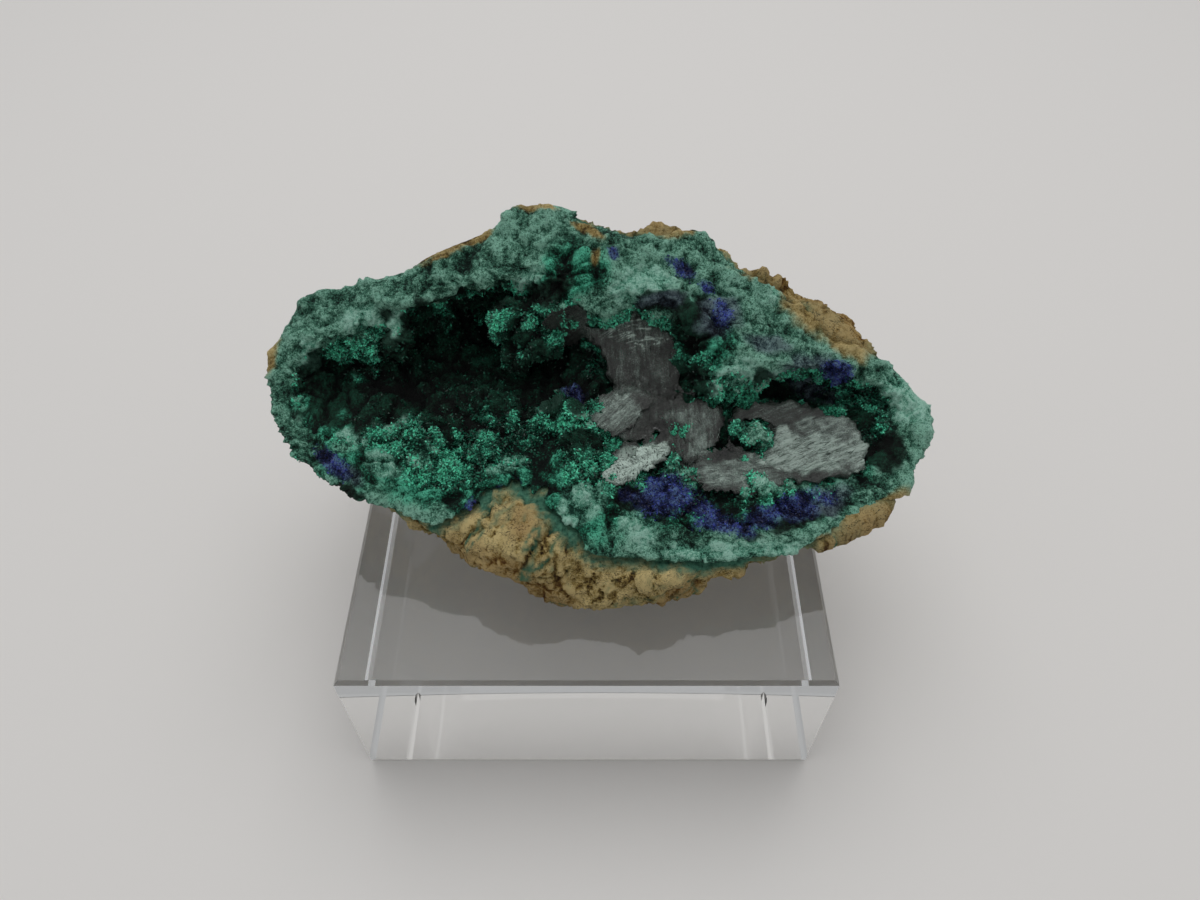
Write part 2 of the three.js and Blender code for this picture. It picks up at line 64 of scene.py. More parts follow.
# The table and the light. The table is a pale matt sheet. The light is a wide soft panel
# above and behind the specimen, with a pale room round it.
TABLE_HALF = 2500
TABLE_GAP = 0.03  # air under the polished block
TABLE_COLOUR = (0.815, 0.79, 0.765, 1)
ROOM_COLOUR = (0.97, 0.985, 1.0, 1)
ROOM_STRENGTH = 0.42
PANEL_PLACE = (0, 130, 480)
PANEL_SIDE = 520
PANEL_POWER = 1.12

table_mesh = bpy.data.meshes.new("table")
table_corners = [(-1, -1), (1, -1), (1, 1), (-1, 1)]
table_mesh.from_pydata(
    [(x * TABLE_HALF * MM, y * TABLE_HALF * MM, -TABLE_GAP * MM) for x, y in table_corners],
    [],
    [(0, 1, 2, 3)],
)
table = bpy.data.objects.new("table", table_mesh)
bpy.context.scene.collection.objects.link(table)
table_finish = bpy.data.materials.new("table_sheet")
table_finish.use_nodes = True
table_shader = table_finish.node_tree.nodes["Principled BSDF"]
table_shader.inputs["Base Color"].default_value = TABLE_COLOUR
table_shader.inputs["Roughness"].default_value = 0.7
table_mesh.materials.append(table_finish)

room = bpy.data.worlds.new("room")
room.use_nodes = True
room.node_tree.nodes["Background"].inputs["Color"].default_value = ROOM_COLOUR
room.node_tree.nodes["Background"].inputs["Strength"].default_value = ROOM_STRENGTH
bpy.context.scene.world = room

panel_light = bpy.data.lights.new("panel", "AREA")
panel_light.size = PANEL_SIDE * MM
panel_light.energy = PANEL_POWER
panel = bpy.data.objects.new("panel", panel_light)
panel.location = np.array(PANEL_PLACE) * MM
panel.rotation_euler = (-math.atan2(PANEL_PLACE[1], PANEL_PLACE[2]), 0, 0)
panel.visible_transmission = False  # its image would be a hard white bar in the block
bpy.context.scene.collection.objects.link(panel)

# The display block. It is a solid square of clear cast acrylic, polished on all sides, with
# its edges broken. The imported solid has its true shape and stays.
ACRYLIC_IOR = 1.49
ACRYLIC_TINT = (0.985, 0.99, 0.985, 1)


def acrylic_finish():
    """Clear polished acrylic: all light goes through, with a faint softness in the polish."""
    finish = bpy.data.materials.new("clear_acrylic")
    finish.use_nodes = True
    shader = finish.node_tree.nodes["Principled BSDF"]
    shader.inputs["Base Color"].default_value = ACRYLIC_TINT
    shader.inputs["Roughness"].default_value = 0.01
    shader.inputs["IOR"].default_value = ACRYLIC_IOR
    shader.inputs["Transmission Weight"].default_value = 1
    return finish


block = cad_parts["acrylic_block"]
block.data.materials.clear()
block.data.materials.append(acrylic_finish())

# The host rock. A lump of soft brown limonitic rock, broken open and never trimmed, that
# rests on the block by its weight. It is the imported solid, rounded off and broken up again
# in layers: flat chips, flaky folds and grains, with cracks and green veins through them.
BLOCK_TOP = 20.0
BLOCK_GAP = 0.05  # air between the rock's flat and the block
ROCK_SQUARE = 0.3  # side of the surface's squares
ROCK_ROUNDING = 8  # passes over the whole surface
HIDDEN_GAP = 1.0  # what lies nearer than this to its neighbour isn't seen
ROCK_FACES_KEPT = 0.82
ROCK_CHIPS = [(5.0, 0.55), (2.4, 0.42), (1.2, 0.26)]  # spacing, height
ROCK_GRAIN = 0.3
CRACK_SPACING = 3.1
CRACK_WIDTH = 0.09  # share of the spacing
CRACK_DEPTH = 0.24
STAIN_REACH = 3.5
VEIN_SPACING = 5.5
FOLD_DIRECTION = np.array([0.45, 0.68, 0.58])  # the rock's flakes run up and to the right
FOLD_DRAW = 0.72  # share of the length taken out along it
FOLD_HEIGHT = 0.8
SEAM_DEPTH = 0.14
EDGE_SWELL = 1.5  # where the photograph shows the rock's edge beyond the crust
PHOTO_SIZE = (1200, 900)
WANDER_SPACING = 1.8  # of the noise that makes a patch's edge wander

# Stretches of the rock's edge that the photograph shows, in its pixels: middle, half size
# and tilt. The first list stands out beyond the crust, the second is bare of green.
PROUD_EDGES = [(858, 534, 56, 24, -32), (792, 574, 66, 14, -8), (830, 330, 38, 10, 38)]
BARE_EDGES = PROUD_EDGES + [
    (770, 276, 30, 18, 10),
    (840, 326, 50, 26, 38),
    (660, 228, 30, 8, 0),
    (480, 590, 120, 40, 20),
]


def cell_hash(cell, salt):
    """A repeatable number from 0 to 1 for each whole-numbered cell: the end of a large sine."""
    s = np.sin(cell @ np.array([127.1, 311.7, 74.7]) + salt * 53.3) * 43758.5453
    return s - np.floor(s)


def nearest_seeds(points, spacing):
    """Distances in cells to the nearest and second nearest of scattered seeds, and the
    nearest seed's cell and offset. One seed lies in each cubic cell, so the 27 cells round a
    point hold both."""
    q = points / spacing
    cell = np.floor(q)
    first = np.full(len(q), 9.0)
    second = np.full(len(q), 9.0)
    home = np.zeros_like(q)
    offset = np.zeros_like(q)
    for step in np.ndindex(3, 3, 3):
        here = cell + np.array(step) - 1
        away = q - here - np.stack([cell_hash(here, salt) for salt in (1, 2, 3)], 1)
        gap = (away**2).sum(1)
        closer = gap < first
        second = np.minimum(second, np.where(closer, first, gap))
        first = np.where(closer, gap, first)
        home[closer] = here[closer]
        offset[closer] = away[closer]
    return np.sqrt(first), np.sqrt(second), home, offset


def chips(points, spacing):
    """Flat chips: each seed's cell is a plane with its own height and its own tilt."""
    _, _, home, offset = nearest_seeds(points, spacing)
    tilt = np.stack([cell_hash(home, salt) for salt in (11, 12, 13)], 1) - 0.5
    return cell_hash(home, 14) - 0.5 + (offset * tilt).sum(1)


def soft_noise(points, spacing, salt=7):
    """Smooth noise from -1 to 1: corner values of a cubic lattice, blended by an S curve."""
    q = points / spacing
    cell = np.floor(q)
    f = q - cell
    f = f * f * (3 - 2 * f)
    total = np.zeros(len(q))
    for corner in np.ndindex(2, 2, 2):
        share = np.prod(np.where(np.array(corner, bool), f, 1 - f), axis=1)
        total += share * cell_hash(cell + np.array(corner), salt)
    return 2 * total - 1


def rough_noise(points, spacing, octaves=3, salt=7):
    """Soft noise at a spacing, then at its half, quarter and so on, each half as strong."""
    parts = [soft_noise(points, spacing / 2**k, salt + k) / 2**k for k in range(octaves)]
    return sum(parts) / sum(0.5**k for k in range(octaves))


def warped(points, amount, spacing, salt):
    """Points pushed about by soft noise, so that what is laid out on them loses its grid."""
    return points + amount * np.stack([soft_noise(points, spacing, salt + k) for k in range(3)], 1)


def smooth_step(low, high, value):
    """0 below low, 1 above high, and a smooth S between them."""
    t = np.clip((value - low) / (high - low), 0, 1)
    return t * t * (3 - 2 * t)


def apply_modifiers(piece):
    """Replaces a piece's mesh by what its modifiers make of it."""
    bpy.context.view_layer.update()
    seen = piece.evaluated_get(bpy.context.evaluated_depsgraph_get())
    made = bpy.data.meshes.new_from_object(seen)
    piece.modifiers.clear()
    piece.data = made


def evened_copy(node, name, square, rounding):
    """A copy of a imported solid, in millimetres: welded, wrapped in even squares, rounded."""
    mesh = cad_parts[node].data.copy()
    mesh.materials.clear()
    mesh.transform(Matrix.Scale(1 / MM, 4))
    welded = bmesh.new()
    welded.from_mesh(mesh)
    bmesh.ops.remove_doubles(welded, verts=welded.verts, dist=0.002)
    welded.to_mesh(mesh)
    welded.free()
    piece = bpy.data.objects.new(name, mesh)
    bpy.context.scene.collection.objects.link(piece)
    wrap = piece.modifiers.new("even_squares", "REMESH")
    wrap.mode = "VOXEL"
    wrap.voxel_size = square
    soften = piece.modifiers.new("rounding", "SMOOTH")
    soften.iterations = rounding
    apply_modifiers(piece)
    return piece


def read_surface(mesh):
    """A mesh's points and the outward direction at each, as arrays."""
    points = np.empty(len(mesh.vertices) * 3)
    outward = np.empty(len(mesh.vertices) * 3)
    mesh.vertices.foreach_get("co", points)
    mesh.vertex_normals.foreach_get("vector", outward)
    return points.reshape(-1, 3), outward.reshape(-1, 3)


def write_points(mesh, points):
    """Puts points in millimetres back into a mesh, in metres, with smooth shading."""
    mesh.vertices.foreach_set("co", (points * MM).astype(np.float32).ravel())
    mesh.polygons.foreach_set("use_smooth", np.ones(len(mesh.polygons), bool))
    mesh.update()


def store(mesh, **layers):
    """Keeps one number a point under each name, for the finish to read."""
    for name, values in layers.items():
        layer = mesh.attributes.new(name, "FLOAT", "POINT")
        layer.data.foreach_set("value", np.asarray(values, np.float32))


def distance_to(points, others, reach, cell=0.5):
    """Rough distance from each point to the nearest of others, up to reach. The others fill
    the cells of a grid, and the filled cells grow by one ring at a time."""
    low = np.minimum(points.min(0), others.min(0)) - reach - cell
    high = np.maximum(points.max(0), others.max(0)) + reach + cell
    filled = np.zeros(((high - low) / cell).astype(int) + 2, bool)
    filled[tuple(((others - low) / cell).astype(int).T)] = True
    here = tuple(((points - low) / cell).astype(int).T)
    found = np.full(len(points), float(reach))
    for ring in range(int(reach / cell)):
        found = np.where(filled[here], np.minimum(found, ring * cell), found)
        grown = filled.copy()
        for axis in range(3):
            grown |= np.roll(filled, 1, axis) | np.roll(filled, -1, axis)
        filled = grown
    return found


def thin_hidden(piece, neighbour, gap, share, lip_rounding=0):
    """Merges the faces that lie against a neighbour until a share of all faces is left. Where
    asked, the lip there is first rounded off: each pass moves its points halfway to the mean
    of those round them."""
    points, _ = read_surface(piece.data)
    others, _ = read_surface(neighbour.data)
    hidden = piece.vertex_groups.new(name="hidden")
    hidden.add(np.flatnonzero(distance_to(points, others, 3) < gap).tolist(), 1.0, "REPLACE")
    soften = piece.modifiers.new("lip_rounding", "SMOOTH")
    soften.vertex_group = "hidden"
    soften.iterations = lip_rounding
    thin = piece.modifiers.new("thinning", "DECIMATE")
    thin.ratio = share
    thin.vertex_group = "hidden"
    thin.vertex_group_factor = 10
    apply_modifiers(piece)
    piece.vertex_groups.clear()


def new_finish(name):
    """A material, its tree and its shader."""
    finish = bpy.data.materials.new(name)
    finish.use_nodes = True
    return finish, finish.node_tree, finish.node_tree.nodes["Principled BSDF"]


def kept(tree, name):
    """The number that a mesh keeps under a name."""
    reader = tree.nodes.new("ShaderNodeAttribute")
    reader.attribute_name = name
    return reader.outputs["Fac"]


def speckle(tree, spacing, detail=3.0, stretch=(1, 1, 1)):
    """Noise with features of a spacing in millimetres, fixed to the piece."""
    place = tree.nodes.new("ShaderNodeTexCoord")
    mapping = tree.nodes.new("ShaderNodeMapping")
    mapping.inputs["Scale"].default_value = stretch
    pattern = tree.nodes.new("ShaderNodeTexNoise")
    pattern.inputs["Scale"].default_value = 1 / (spacing * MM)
    pattern.inputs["Detail"].default_value = detail
    pattern.inputs["Roughness"].default_value = 0.7
    tree.links.new(place.outputs["Object"], mapping.inputs["Vector"])
    tree.links.new(mapping.outputs["Vector"], pattern.inputs["Vector"])
    return pattern.outputs[0]


def ramp(tree, factor, *stops):
    """Colours along a factor, each stop a place and a colour."""
    band = tree.nodes.new("ShaderNodeValToRGB")
    while len(band.color_ramp.elements) < len(stops):
        band.color_ramp.elements.new(0.5)
    for element, (place, colour) in zip(band.color_ramp.elements, stops):
        element.position = place
        element.color = (*colour, 1)
    tree.links.new(factor, band.inputs["Fac"])
    return band.outputs["Color"]


def blended(tree, factor, first, second, way="MIX"):
    """Two colours mixed by a factor. Any of the three may be a plain value."""
    mix = tree.nodes.new("ShaderNodeMix")
    mix.data_type = "RGBA"
    mix.blend_type = way
    for socket, value in ((0, factor), (6, first), (7, second)):
        if isinstance(value, (tuple, float)):
            mix.inputs[socket].default_value = value
        else:
            tree.links.new(value, mix.inputs[socket])
    return mix.outputs[2]


def summed(tree, *terms):
    """A weighted sum of numbers about a half: each term is a socket and its weight."""
    total = None
    for socket, weight in terms:
        step = tree.nodes.new("ShaderNodeMath")
        step.operation = "MULTIPLY_ADD"
        offset = tree.nodes.new("ShaderNodeMath")
        offset.operation = "SUBTRACT"
        offset.inputs[1].default_value = 0.5
        tree.links.new(socket, offset.inputs[0])
        tree.links.new(offset.outputs[0], step.inputs[0])
        step.inputs[1].default_value = weight
        step.inputs[2].default_value = 0.5
        if total is not None:
            tree.links.new(total, step.inputs[2])
        total = step.outputs[0]
    return total


def lines(tree, spacing, half_width, stretch=(1, 1, 1)):
    """Thin wandering lines: 1 where a noise passes through its middle value, 0 elsewhere."""
    black, white = (0, 0, 0), (1, 1, 1)
    noise = speckle(tree, spacing, 4, stretch)
    return ramp(tree, noise, (0.5 - half_width, black), (0.5, white), (0.5 + half_width, black))


def bumped(tree, shader, height, depth):
    """Fine relief of a depth in millimetres, from a height between 0 and 1."""
    bump = tree.nodes.new("ShaderNodeBump")
    bump.inputs["Distance"].default_value = depth * MM
    tree.links.new(height, bump.inputs["Height"])
    tree.links.new(bump.outputs["Normal"], shader.inputs["Normal"])


def earth_colours(tree, tone):
    """Limonite from its darkest cracks to its palest chips."""
    return ramp(
        tree,
        tone,
        (0.18, (0.016, 0.009, 0.003)),
        (0.36, (0.125, 0.078, 0.024)),
        (0.54, (0.35, 0.250, 0.078)),
        (0.80, (0.68, 0.54, 0.25)),
    )


def rock_finish():
    """Earthy tan rock: brown in its cracks, pale on its chips, with rusty clouds, dark hair
    cracks and thin green veins, and stained green by the crust."""
    finish, tree, shader = new_finish("limonitic_rock")
    grain = speckle(tree, 0.45, 6)
    fine = speckle(tree, 0.16, 3)
    earth = earth_colours(tree, summed(tree, (kept(tree, "tone"), 0.8), (grain, 1.1), (fine, 0.8)))
    warm = blended(tree, kept(tree, "rust"), earth, (0.27, 0.105, 0.022, 1))
    cracked = blended(tree, lines(tree, 3.2, 0.012, (1, 1.5, 2.2)), warm, (0.03, 0.018, 0.008, 1))
    cracked = blended(tree, lines(tree, 1.7, 0.009, (1.2, 1, 2)), cracked, (0.06, 0.035, 0.012, 1))
    stain = ramp(tree, grain, (0.3, (0.012, 0.07, 0.045)), (0.7, (0.12, 0.33, 0.22)))
    green = blended(tree, kept(tree, "vein"), cracked, (0.040, 0.185, 0.120, 1))
    tree.links.new(blended(tree, kept(tree, "stain"), green, stain), shader.inputs["Base Color"])
    shader.inputs["Roughness"].default_value = 0.95
    shader.inputs["Specular IOR Level"].default_value = 0.2
    bumped(tree, shader, speckle(tree, 0.25, 7), 0.35)
    return finish


def photo_place(points):
    """Where the photograph shows each point, in pixels: its offset from the lens over its
    distance along the line of sight, times the focal length in pixels."""
    ray = points - LENS_PLACE
    depth = ray @ SIGHT
    focal = PHOTO_SIZE[0] * LENS_LENGTH / SENSOR_WIDTH
    across = PHOTO_SIZE[0] / 2 + focal * ray[:, 0] / depth
    return across, PHOTO_SIZE[1] / 2 - focal * (ray @ UPWARD) / depth


def patched(points, patches, ragged=0.5, salt=101):
    """1 in the middle of a patch, 0 outside, with an edge that wanders with the grain."""
    across, down = photo_place(points)
    wander = ragged * rough_noise(points, WANDER_SPACING, 4, salt)
    best = np.zeros(len(points))
    for x, y, half_width, half_height, tilt in patches:
        turn = math.radians(tilt)
        dx, dy = across - x, down - y
        along = (dx * math.cos(turn) + dy * math.sin(turn)) / half_width
        aside = (dy * math.cos(turn) - dx * math.sin(turn)) / half_height
        best = np.maximum(best, smooth_step(1.3, 0.7, np.hypot(along, aside) + wander))
    return best


# The crust is evened out here too, because the rock is stained and hidden where it is near.
CRUST_SQUARE = 0.22
CRUST_ROUNDING = 16

rock = evened_copy("host_rock", "rough_rock", ROCK_SQUARE, ROCK_ROUNDING)
crust = evened_copy("brochantite_crust", "green_crust", CRUST_SQUARE, CRUST_ROUNDING)
whole_rock, _ = read_surface(rock.data)
whole_crust, _ = read_surface(crust.data)
thin_hidden(rock, crust, HIDDEN_GAP, ROCK_FACES_KEPT)
rock_points, rock_outward = read_surface(rock.data)
from_crust = distance_to(rock_points, whole_crust, STAIN_REACH + 1)
open_rock = smooth_step(0.4, 1.4, from_crust)
bent = warped(rock_points, 0.8, 3.0, 31)
broken = sum(height * chips(bent, spacing) for spacing, height in ROCK_CHIPS)
near, far, _, _ = nearest_seeds(bent * [1, 1, 1.6], CRACK_SPACING)
crack = np.exp(-(((far - near) / CRACK_WIDTH) ** 2))
crack *= smooth_step(0.0, 0.6, soft_noise(rock_points, 6.0, 41))
drawn_out = bent - FOLD_DRAW * (bent @ FOLD_DIRECTION)[:, None] * FOLD_DIRECTION
fold = rough_noise(drawn_out, 1.5, 4, 301)
seam = np.exp(-((rough_noise(drawn_out, 1.9, 4, 321) / 0.05) ** 2))
grain = rough_noise(rock_points, 0.9, 3, 51)
rise = broken + ROCK_GRAIN * grain - CRACK_DEPTH * crack
rise = rise + FOLD_HEIGHT * np.abs(fold) - SEAM_DEPTH * seam
bared = patched(rock_points, BARE_EDGES, 0.3)
proud = patched(rock_points, PROUD_EDGES, 0)
rise = open_rock * rise + EDGE_SWELL * proud
raised = rock_points + rise[:, None] * rock_outward
raised[:, 2] = np.maximum(raised[:, 2], BLOCK_TOP + BLOCK_GAP)
vein = smooth_step(-0.3, 0.3, rough_noise(rock_points, VEIN_SPACING, 2, 81))
vein *= np.exp(-((rough_noise(drawn_out, 2.6, 4, 341) / 0.055) ** 2))
stain = smooth_step(STAIN_REACH * 0.6, 0.3, from_crust + 1.8 * rough_noise(bent, 2.2, 3, 71))
stain *= 1 - 0.85 * bared
rust = 0.5 * smooth_step(-0.05, 0.5, rough_noise(rock_points, 4.5, 3, 91))
tone = 0.75 + 0.4 * broken + 0.4 * grain + 0.6 * np.abs(fold) - 0.5 * crack - 0.7 * seam
store(
    rock.data,
    tone=np.clip(tone, 0, 1),
    stain=stain,
    vein=0.9 * vein,
    rust=np.maximum(rust, 0.35 * bared),
)
write_points(rock.data, raised)
rock.data.materials.append(rock_finish())
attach(rock, "root")
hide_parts("host_rock")

# The crust. Brochantite grew on the rock as a green rind of fibres and tiny prisms: velvety
# and pale round the open rim, dark and knobbly inside, with patches of blue azurite. The
# darkness inside is partly its own dark green and partly painted shade, under the cavity's
# roof and in its crevices and gaps. It is one body from rim to roof, and the knobs that
# hang or stand in the cavity belong to it.
CRUST_FACES_KEPT = 0.60
LIP_ROUNDING = 60  # passes over the crust's thin back edge
FACE_CENTRE = np.array([1.3, -2.3, 35.8])
FACE_LEAN_BACK = 0.17  # how much deeper the broken face lies for each millimetre up
FACE_DROOP = 4  # how much deeper it lies at the specimen's two ends
HALF_LENGTH = 33
RIM_DEPTH = (1.2, 3.2)  # below the broken face, where the velvet turns into knobs
INNER_KNOBS = [(2.9, 1.1), (1.35, 0.75), (0.66, 0.52)]  # spacing, height
RIM_KNOBS = [(2.9, 0.35), (1.35, 0.27), (0.66, 0.26)]
KNOB_LEVEL = 0.48  # of a knob's height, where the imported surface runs
RIM_LEVEL = 0.66
CREVICE_SPACING = 3.4
CREVICE_WIDTH = 0.14  # share of the spacing
CREVICE_DEPTH = 0.8
LUMP_HEIGHT = 0.55
FIBRE_HEIGHT = 0.4
PIT_DEPTH = 0.8
PIT_LEVEL = 0.2  # of the pits' depth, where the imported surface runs

# Stretches of the crust's edge, each with how far the photograph shows it beyond the packed
# solid: middle, half size and tilt in its pixels, and millimetres.
EDGE_SHIFTS = [
    ((272, 380, 14, 40, -5), 0.45),
    ((284, 446, 14, 40, -28), 0.55),
    ((314, 294, 22, 10, -30), 0.5),
    ((928, 432, 12, 42, 5), 0.5),
    ((904, 500, 14, 28, 25), 0.6),
    ((792, 562, 46, 10, -14), 0.7),
    ((652, 226, 30, 9, 0), 0.4),
    ((512, 211, 14, 8, -30), 0.35),
    ((424, 256, 72, 12, -25), -0.25),
    ((564, 214, 22, 12, 30), -0.35),
    ((728, 258, 16, 14, 45), -0.3),
]

# Patches where the photograph shows them, in its pixels: middle, half size and tilt.
AZURITE_PATCHES = [
    (668, 497, 32, 17, 0),
    (700, 508, 30, 10, 20),
    (722, 524, 30, 9, 12),
    (785, 509, 44, 12, -18),
    (838, 372, 16, 11, 20),
    (682, 268, 18, 7, 35),
    (708, 288, 9, 6, 30),
    (722, 312, 9, 15, -15),
    (613, 252, 5, 7, 0),
    (331, 461, 20, 9, 40),
    (505, 487, 14, 4, -14),
    (471, 507, 5, 8, 20),
    (576, 393, 11, 6, 0),
    (629, 495, 9, 6, 0),
]
DULL_BLUE_AND_LIT_PATCHES = [
    (768, 345, 28, 10, 10),
    (720, 316, 18, 24, 0),
    # Dull azurite, painted lighter here as painted light on a face of the pocket that catches the
    # light.
    (815, 374, 34, 22, 20),
    (345, 470, 20, 8, 40),
    (830, 500, 30, 14, -25),
    (660, 300, 22, 9, -10),
]
MINT_PATCHES = [
    (740, 376, 34, 14, -6),
    (424, 456, 17, 16, 0),
    (640, 285, 30, 17, 0),
    (362, 320, 20, 13, 0),
    (393, 328, 9, 17, 20),
    (905, 398, 20, 30, -30),
    (352, 438, 16, 5, 15),
    (398, 424, 14, 5, -30),
    (385, 465, 18, 10, 20),
    (762, 488, 30, 7, -8),
    (590, 420, 14, 8, 0),
    (548, 408, 18, 6, -20),
    (310, 355, 10, 20, -30),
    (530, 275, 14, 7, -30),
    (580, 506, 34, 14, -30),
    (640, 520, 20, 22, -20),
    (505, 465, 20, 7, -15),
    (790, 300, 20, 10, 30),
    (738, 549, 66, 9, -3),
]
GLASSY_PATCHES = [
    (460, 462, 130, 44, 0),
    (575, 505, 60, 40, 0),
    (530, 330, 36, 36, 0),
    (572, 272, 36, 26, -10),
    (700, 350, 34, 50, 0),
    (355, 400, 60, 50, 0),
    (700, 508, 120, 22, 0),
    (860, 440, 34, 34, 0),
]
# Painted shade: where the cavity's roof and pockets shade the crust. The crust is darkened there, and
# its prisms are fewer and darker.
CAVE_SHADE_PATCHES = [
    (456, 362, 80, 56, 0),
    (400, 398, 100, 26, -3),
    (322, 378, 22, 26, 0),
    (545, 378, 66, 40, 0),
    (505, 388, 56, 28, 0),
    (500, 300, 80, 14, -8),
    (424, 318, 13, 18, 0),
    (352, 374, 24, 10, 0),
    (350, 392, 55, 18, 5),
    (802, 390, 42, 18, 8),
    (690, 330, 20, 40, 0),
    (660, 300, 22, 10, -10),
    (690, 380, 24, 28, 0),
    (580, 440, 24, 12, 0),
    (880, 452, 22, 22, -30),
    (860, 420, 16, 12, 0),
    (800, 520, 60, 8, -20),
    (628, 500, 20, 10, 0),
    (350, 495, 16, 8, 30),
    (360, 425, 30, 8, 0),
    (450, 425, 40, 8, 0),
    (722, 436, 12, 24, 0),
    (620, 425, 14, 8, 0),
]
EARTH_PATCHES = [
    (745, 572, 54, 6, -3),
    (792, 563, 48, 9, -14),
    (835, 540, 48, 8, -32),
    (890, 505, 22, 7, -52),
    (452, 248, 46, 4, -24),
    (528, 205, 34, 4, -4),
    (588, 228, 16, 5, 30),
    (272, 352, 6, 22, 8),
    (596, 256, 4, 8, 10),
    (660, 228, 30, 8, 0),
    (772, 274, 30, 9, 10),
    (806, 308, 32, 15, 38),
    (843, 337, 32, 15, 42),
]


def depth_below_face(points):
    """How far each point lies below the sweep of the broken face."""
    rel = points - FACE_CENTRE
    sweep = FACE_LEAN_BACK * (rel @ UPWARD) + FACE_DROOP * (rel[:, 0] / HALF_LENGTH) ** 2
    return rel @ SIGHT - sweep


def knobs(points, spacing):
    """Blunt knobs: 1 at the middle of a knob, 0 between them, the fall a power of 1.5."""
    return 1 - np.minimum(nearest_seeds(points, spacing)[0], 1) ** 1.5


def crust_finish():
    """Brochantite: dark glassy green in the hollows, mint velvet on the crests and the rim,
    blue where azurite took its place, and brown where the rind wears through. The dark in
    the hollows is partly its own colour and partly painted shade: darker in crevices, pits
    and gaps between knobs, and darkest under the cavity's roof. One dull blue face is
    painted lighter, as painted light."""
    finish, tree, shader = new_finish("brochantite_crust")
    grain = speckle(tree, 0.34, 6)
    fine = speckle(tree, 0.13, 3)
    height = summed(tree, (kept(tree, "crest"), 0.72), (grain, 1.7), (fine, 1.5))
    inner = ramp(
        tree,
        height,
        (0.26, (0.0003, 0.004, 0.0025)),
        (0.46, (0.003, 0.050, 0.028)),
        (0.68, (0.018, 0.22, 0.125)),
        (0.93, (0.13, 0.66, 0.43)),
    )
    velvet = ramp(
        tree,
        height,
        (0.25, (0.002, 0.014, 0.009)),
        (0.45, (0.029, 0.120, 0.077)),
        (0.65, (0.095, 0.280, 0.190)),
        (0.90, (0.32, 0.64, 0.49)),
    )
    mint = ramp(
        tree,
        height,
        (0.22, (0.008, 0.055, 0.035)),
        (0.47, (0.13, 0.44, 0.30)),
        (0.85, (0.46, 0.80, 0.65)),
    )
    blue = ramp(
        tree,
        height,
        (0.24, (0.003, 0.003, 0.016)),
        (0.50, (0.028, 0.038, 0.155)),
        (0.88, (0.14, 0.22, 0.47)),
    )
    dull = ramp(
        tree,
        height,
        (0.24, (0.004, 0.007, 0.014)),
        (0.52, (0.045, 0.066, 0.095)),
        (0.90, (0.19, 0.26, 0.29)),
    )
    green = blended(tree, kept(tree, "rim"), inner, velvet)
    green = blended(tree, kept(tree, "mint"), green, mint)
    # Painted shade: the crust is multiplied darker in the dark patches, where the cavity's roof shades
    # it.
    green = blended(tree, kept(tree, "dark"), green, (0.06, 0.10, 0.085, 1), "MULTIPLY")
    # Dull grey-blue azurite; on one face in the right-hand pocket this is also painted light.
    green = blended(tree, kept(tree, "dull_blue"), green, dull)
    tinted = blended(tree, kept(tree, "azurite"), green, blue)
    earth = earth_colours(tree, summed(tree, (kept(tree, "crest"), 0.5), (grain, 1.1), (fine, 0.8)))
    tree.links.new(blended(tree, kept(tree, "earth"), tinted, earth), shader.inputs["Base Color"])
    shader.inputs["Roughness"].default_value = 0.6
    shader.inputs["Specular IOR Level"].default_value = 0.25
    bumped(tree, shader, speckle(tree, 0.2, 8), 0.4)
    return finish


thin_hidden(crust, rock, HIDDEN_GAP, CRUST_FACES_KEPT, LIP_ROUNDING)
crust_points, crust_outward = read_surface(crust.data)
from_rock = distance_to(crust_points, whole_rock, 3)
sunk = depth_below_face(crust_points)
rim = 1 - smooth_step(*RIM_DEPTH, sunk + 1.2 * rough_noise(crust_points, 2.5, 3, 111))
rim *= 1 - patched(crust_points, GLASSY_PATCHES, 0.6, 171)
open_crust = smooth_step(0.9, 1.9, from_rock)
open_crust = np.maximum(open_crust, 0.7 * smooth_step(-0.3, 0.3, -crust_outward @ SIGHT))
twisted = warped(warped(crust_points, 0.7, 1.8, 34), 0.3, 0.7, 54)
lumpy = rough_noise(crust_points, 2.2, 4, 191)
cloudy = rough_noise(crust_points, 4.5, 3, 251)
knob_shapes = [knobs(twisted, spacing) for spacing, _ in INNER_KNOBS]
near, far, _, _ = nearest_seeds(warped(crust_points, 0.9, 2.5, 44), CREVICE_SPACING)
crevice = np.exp(-(((far - near) / CREVICE_WIDTH) ** 2)) * (1 - 0.7 * rim)
fibre = rough_noise(crust_points, 0.8, 3, 121)
pitted = np.abs(rough_noise(twisted, 0.9, 3, 181))
inner_rise = sum(h * (k - KNOB_LEVEL) for k, (_, h) in zip(knob_shapes, INNER_KNOBS))
rim_rise = sum(h * (k - RIM_LEVEL) for k, (_, h) in zip(knob_shapes, RIM_KNOBS))
rise = inner_rise + rim * (rim_rise - inner_rise) - CREVICE_DEPTH * crevice
rise += LUMP_HEIGHT * lumpy + FIBRE_HEIGHT * fibre + PIT_DEPTH * (pitted - PIT_LEVEL)
shift = sum(growth * patched(crust_points, [patch], 0) for patch, growth in EDGE_SHIFTS)
# This number sets the crust's tone: light on knobs and fibres, dark in crevices, pits and between
# knobs. The dark gaps are painted shade; the lump, fibre and cloud noise is random tone.
crest = 0.36 * knob_shapes[0] + 0.36 * knob_shapes[1] + 0.34 * knob_shapes[2] - 0.6 * crevice
crest += 0.4 * fibre + 0.4 * lumpy + 0.35 * cloudy + 0.8 * (pitted - PIT_LEVEL)
crest_kept = np.clip(0.13 + crest, 0, 1)
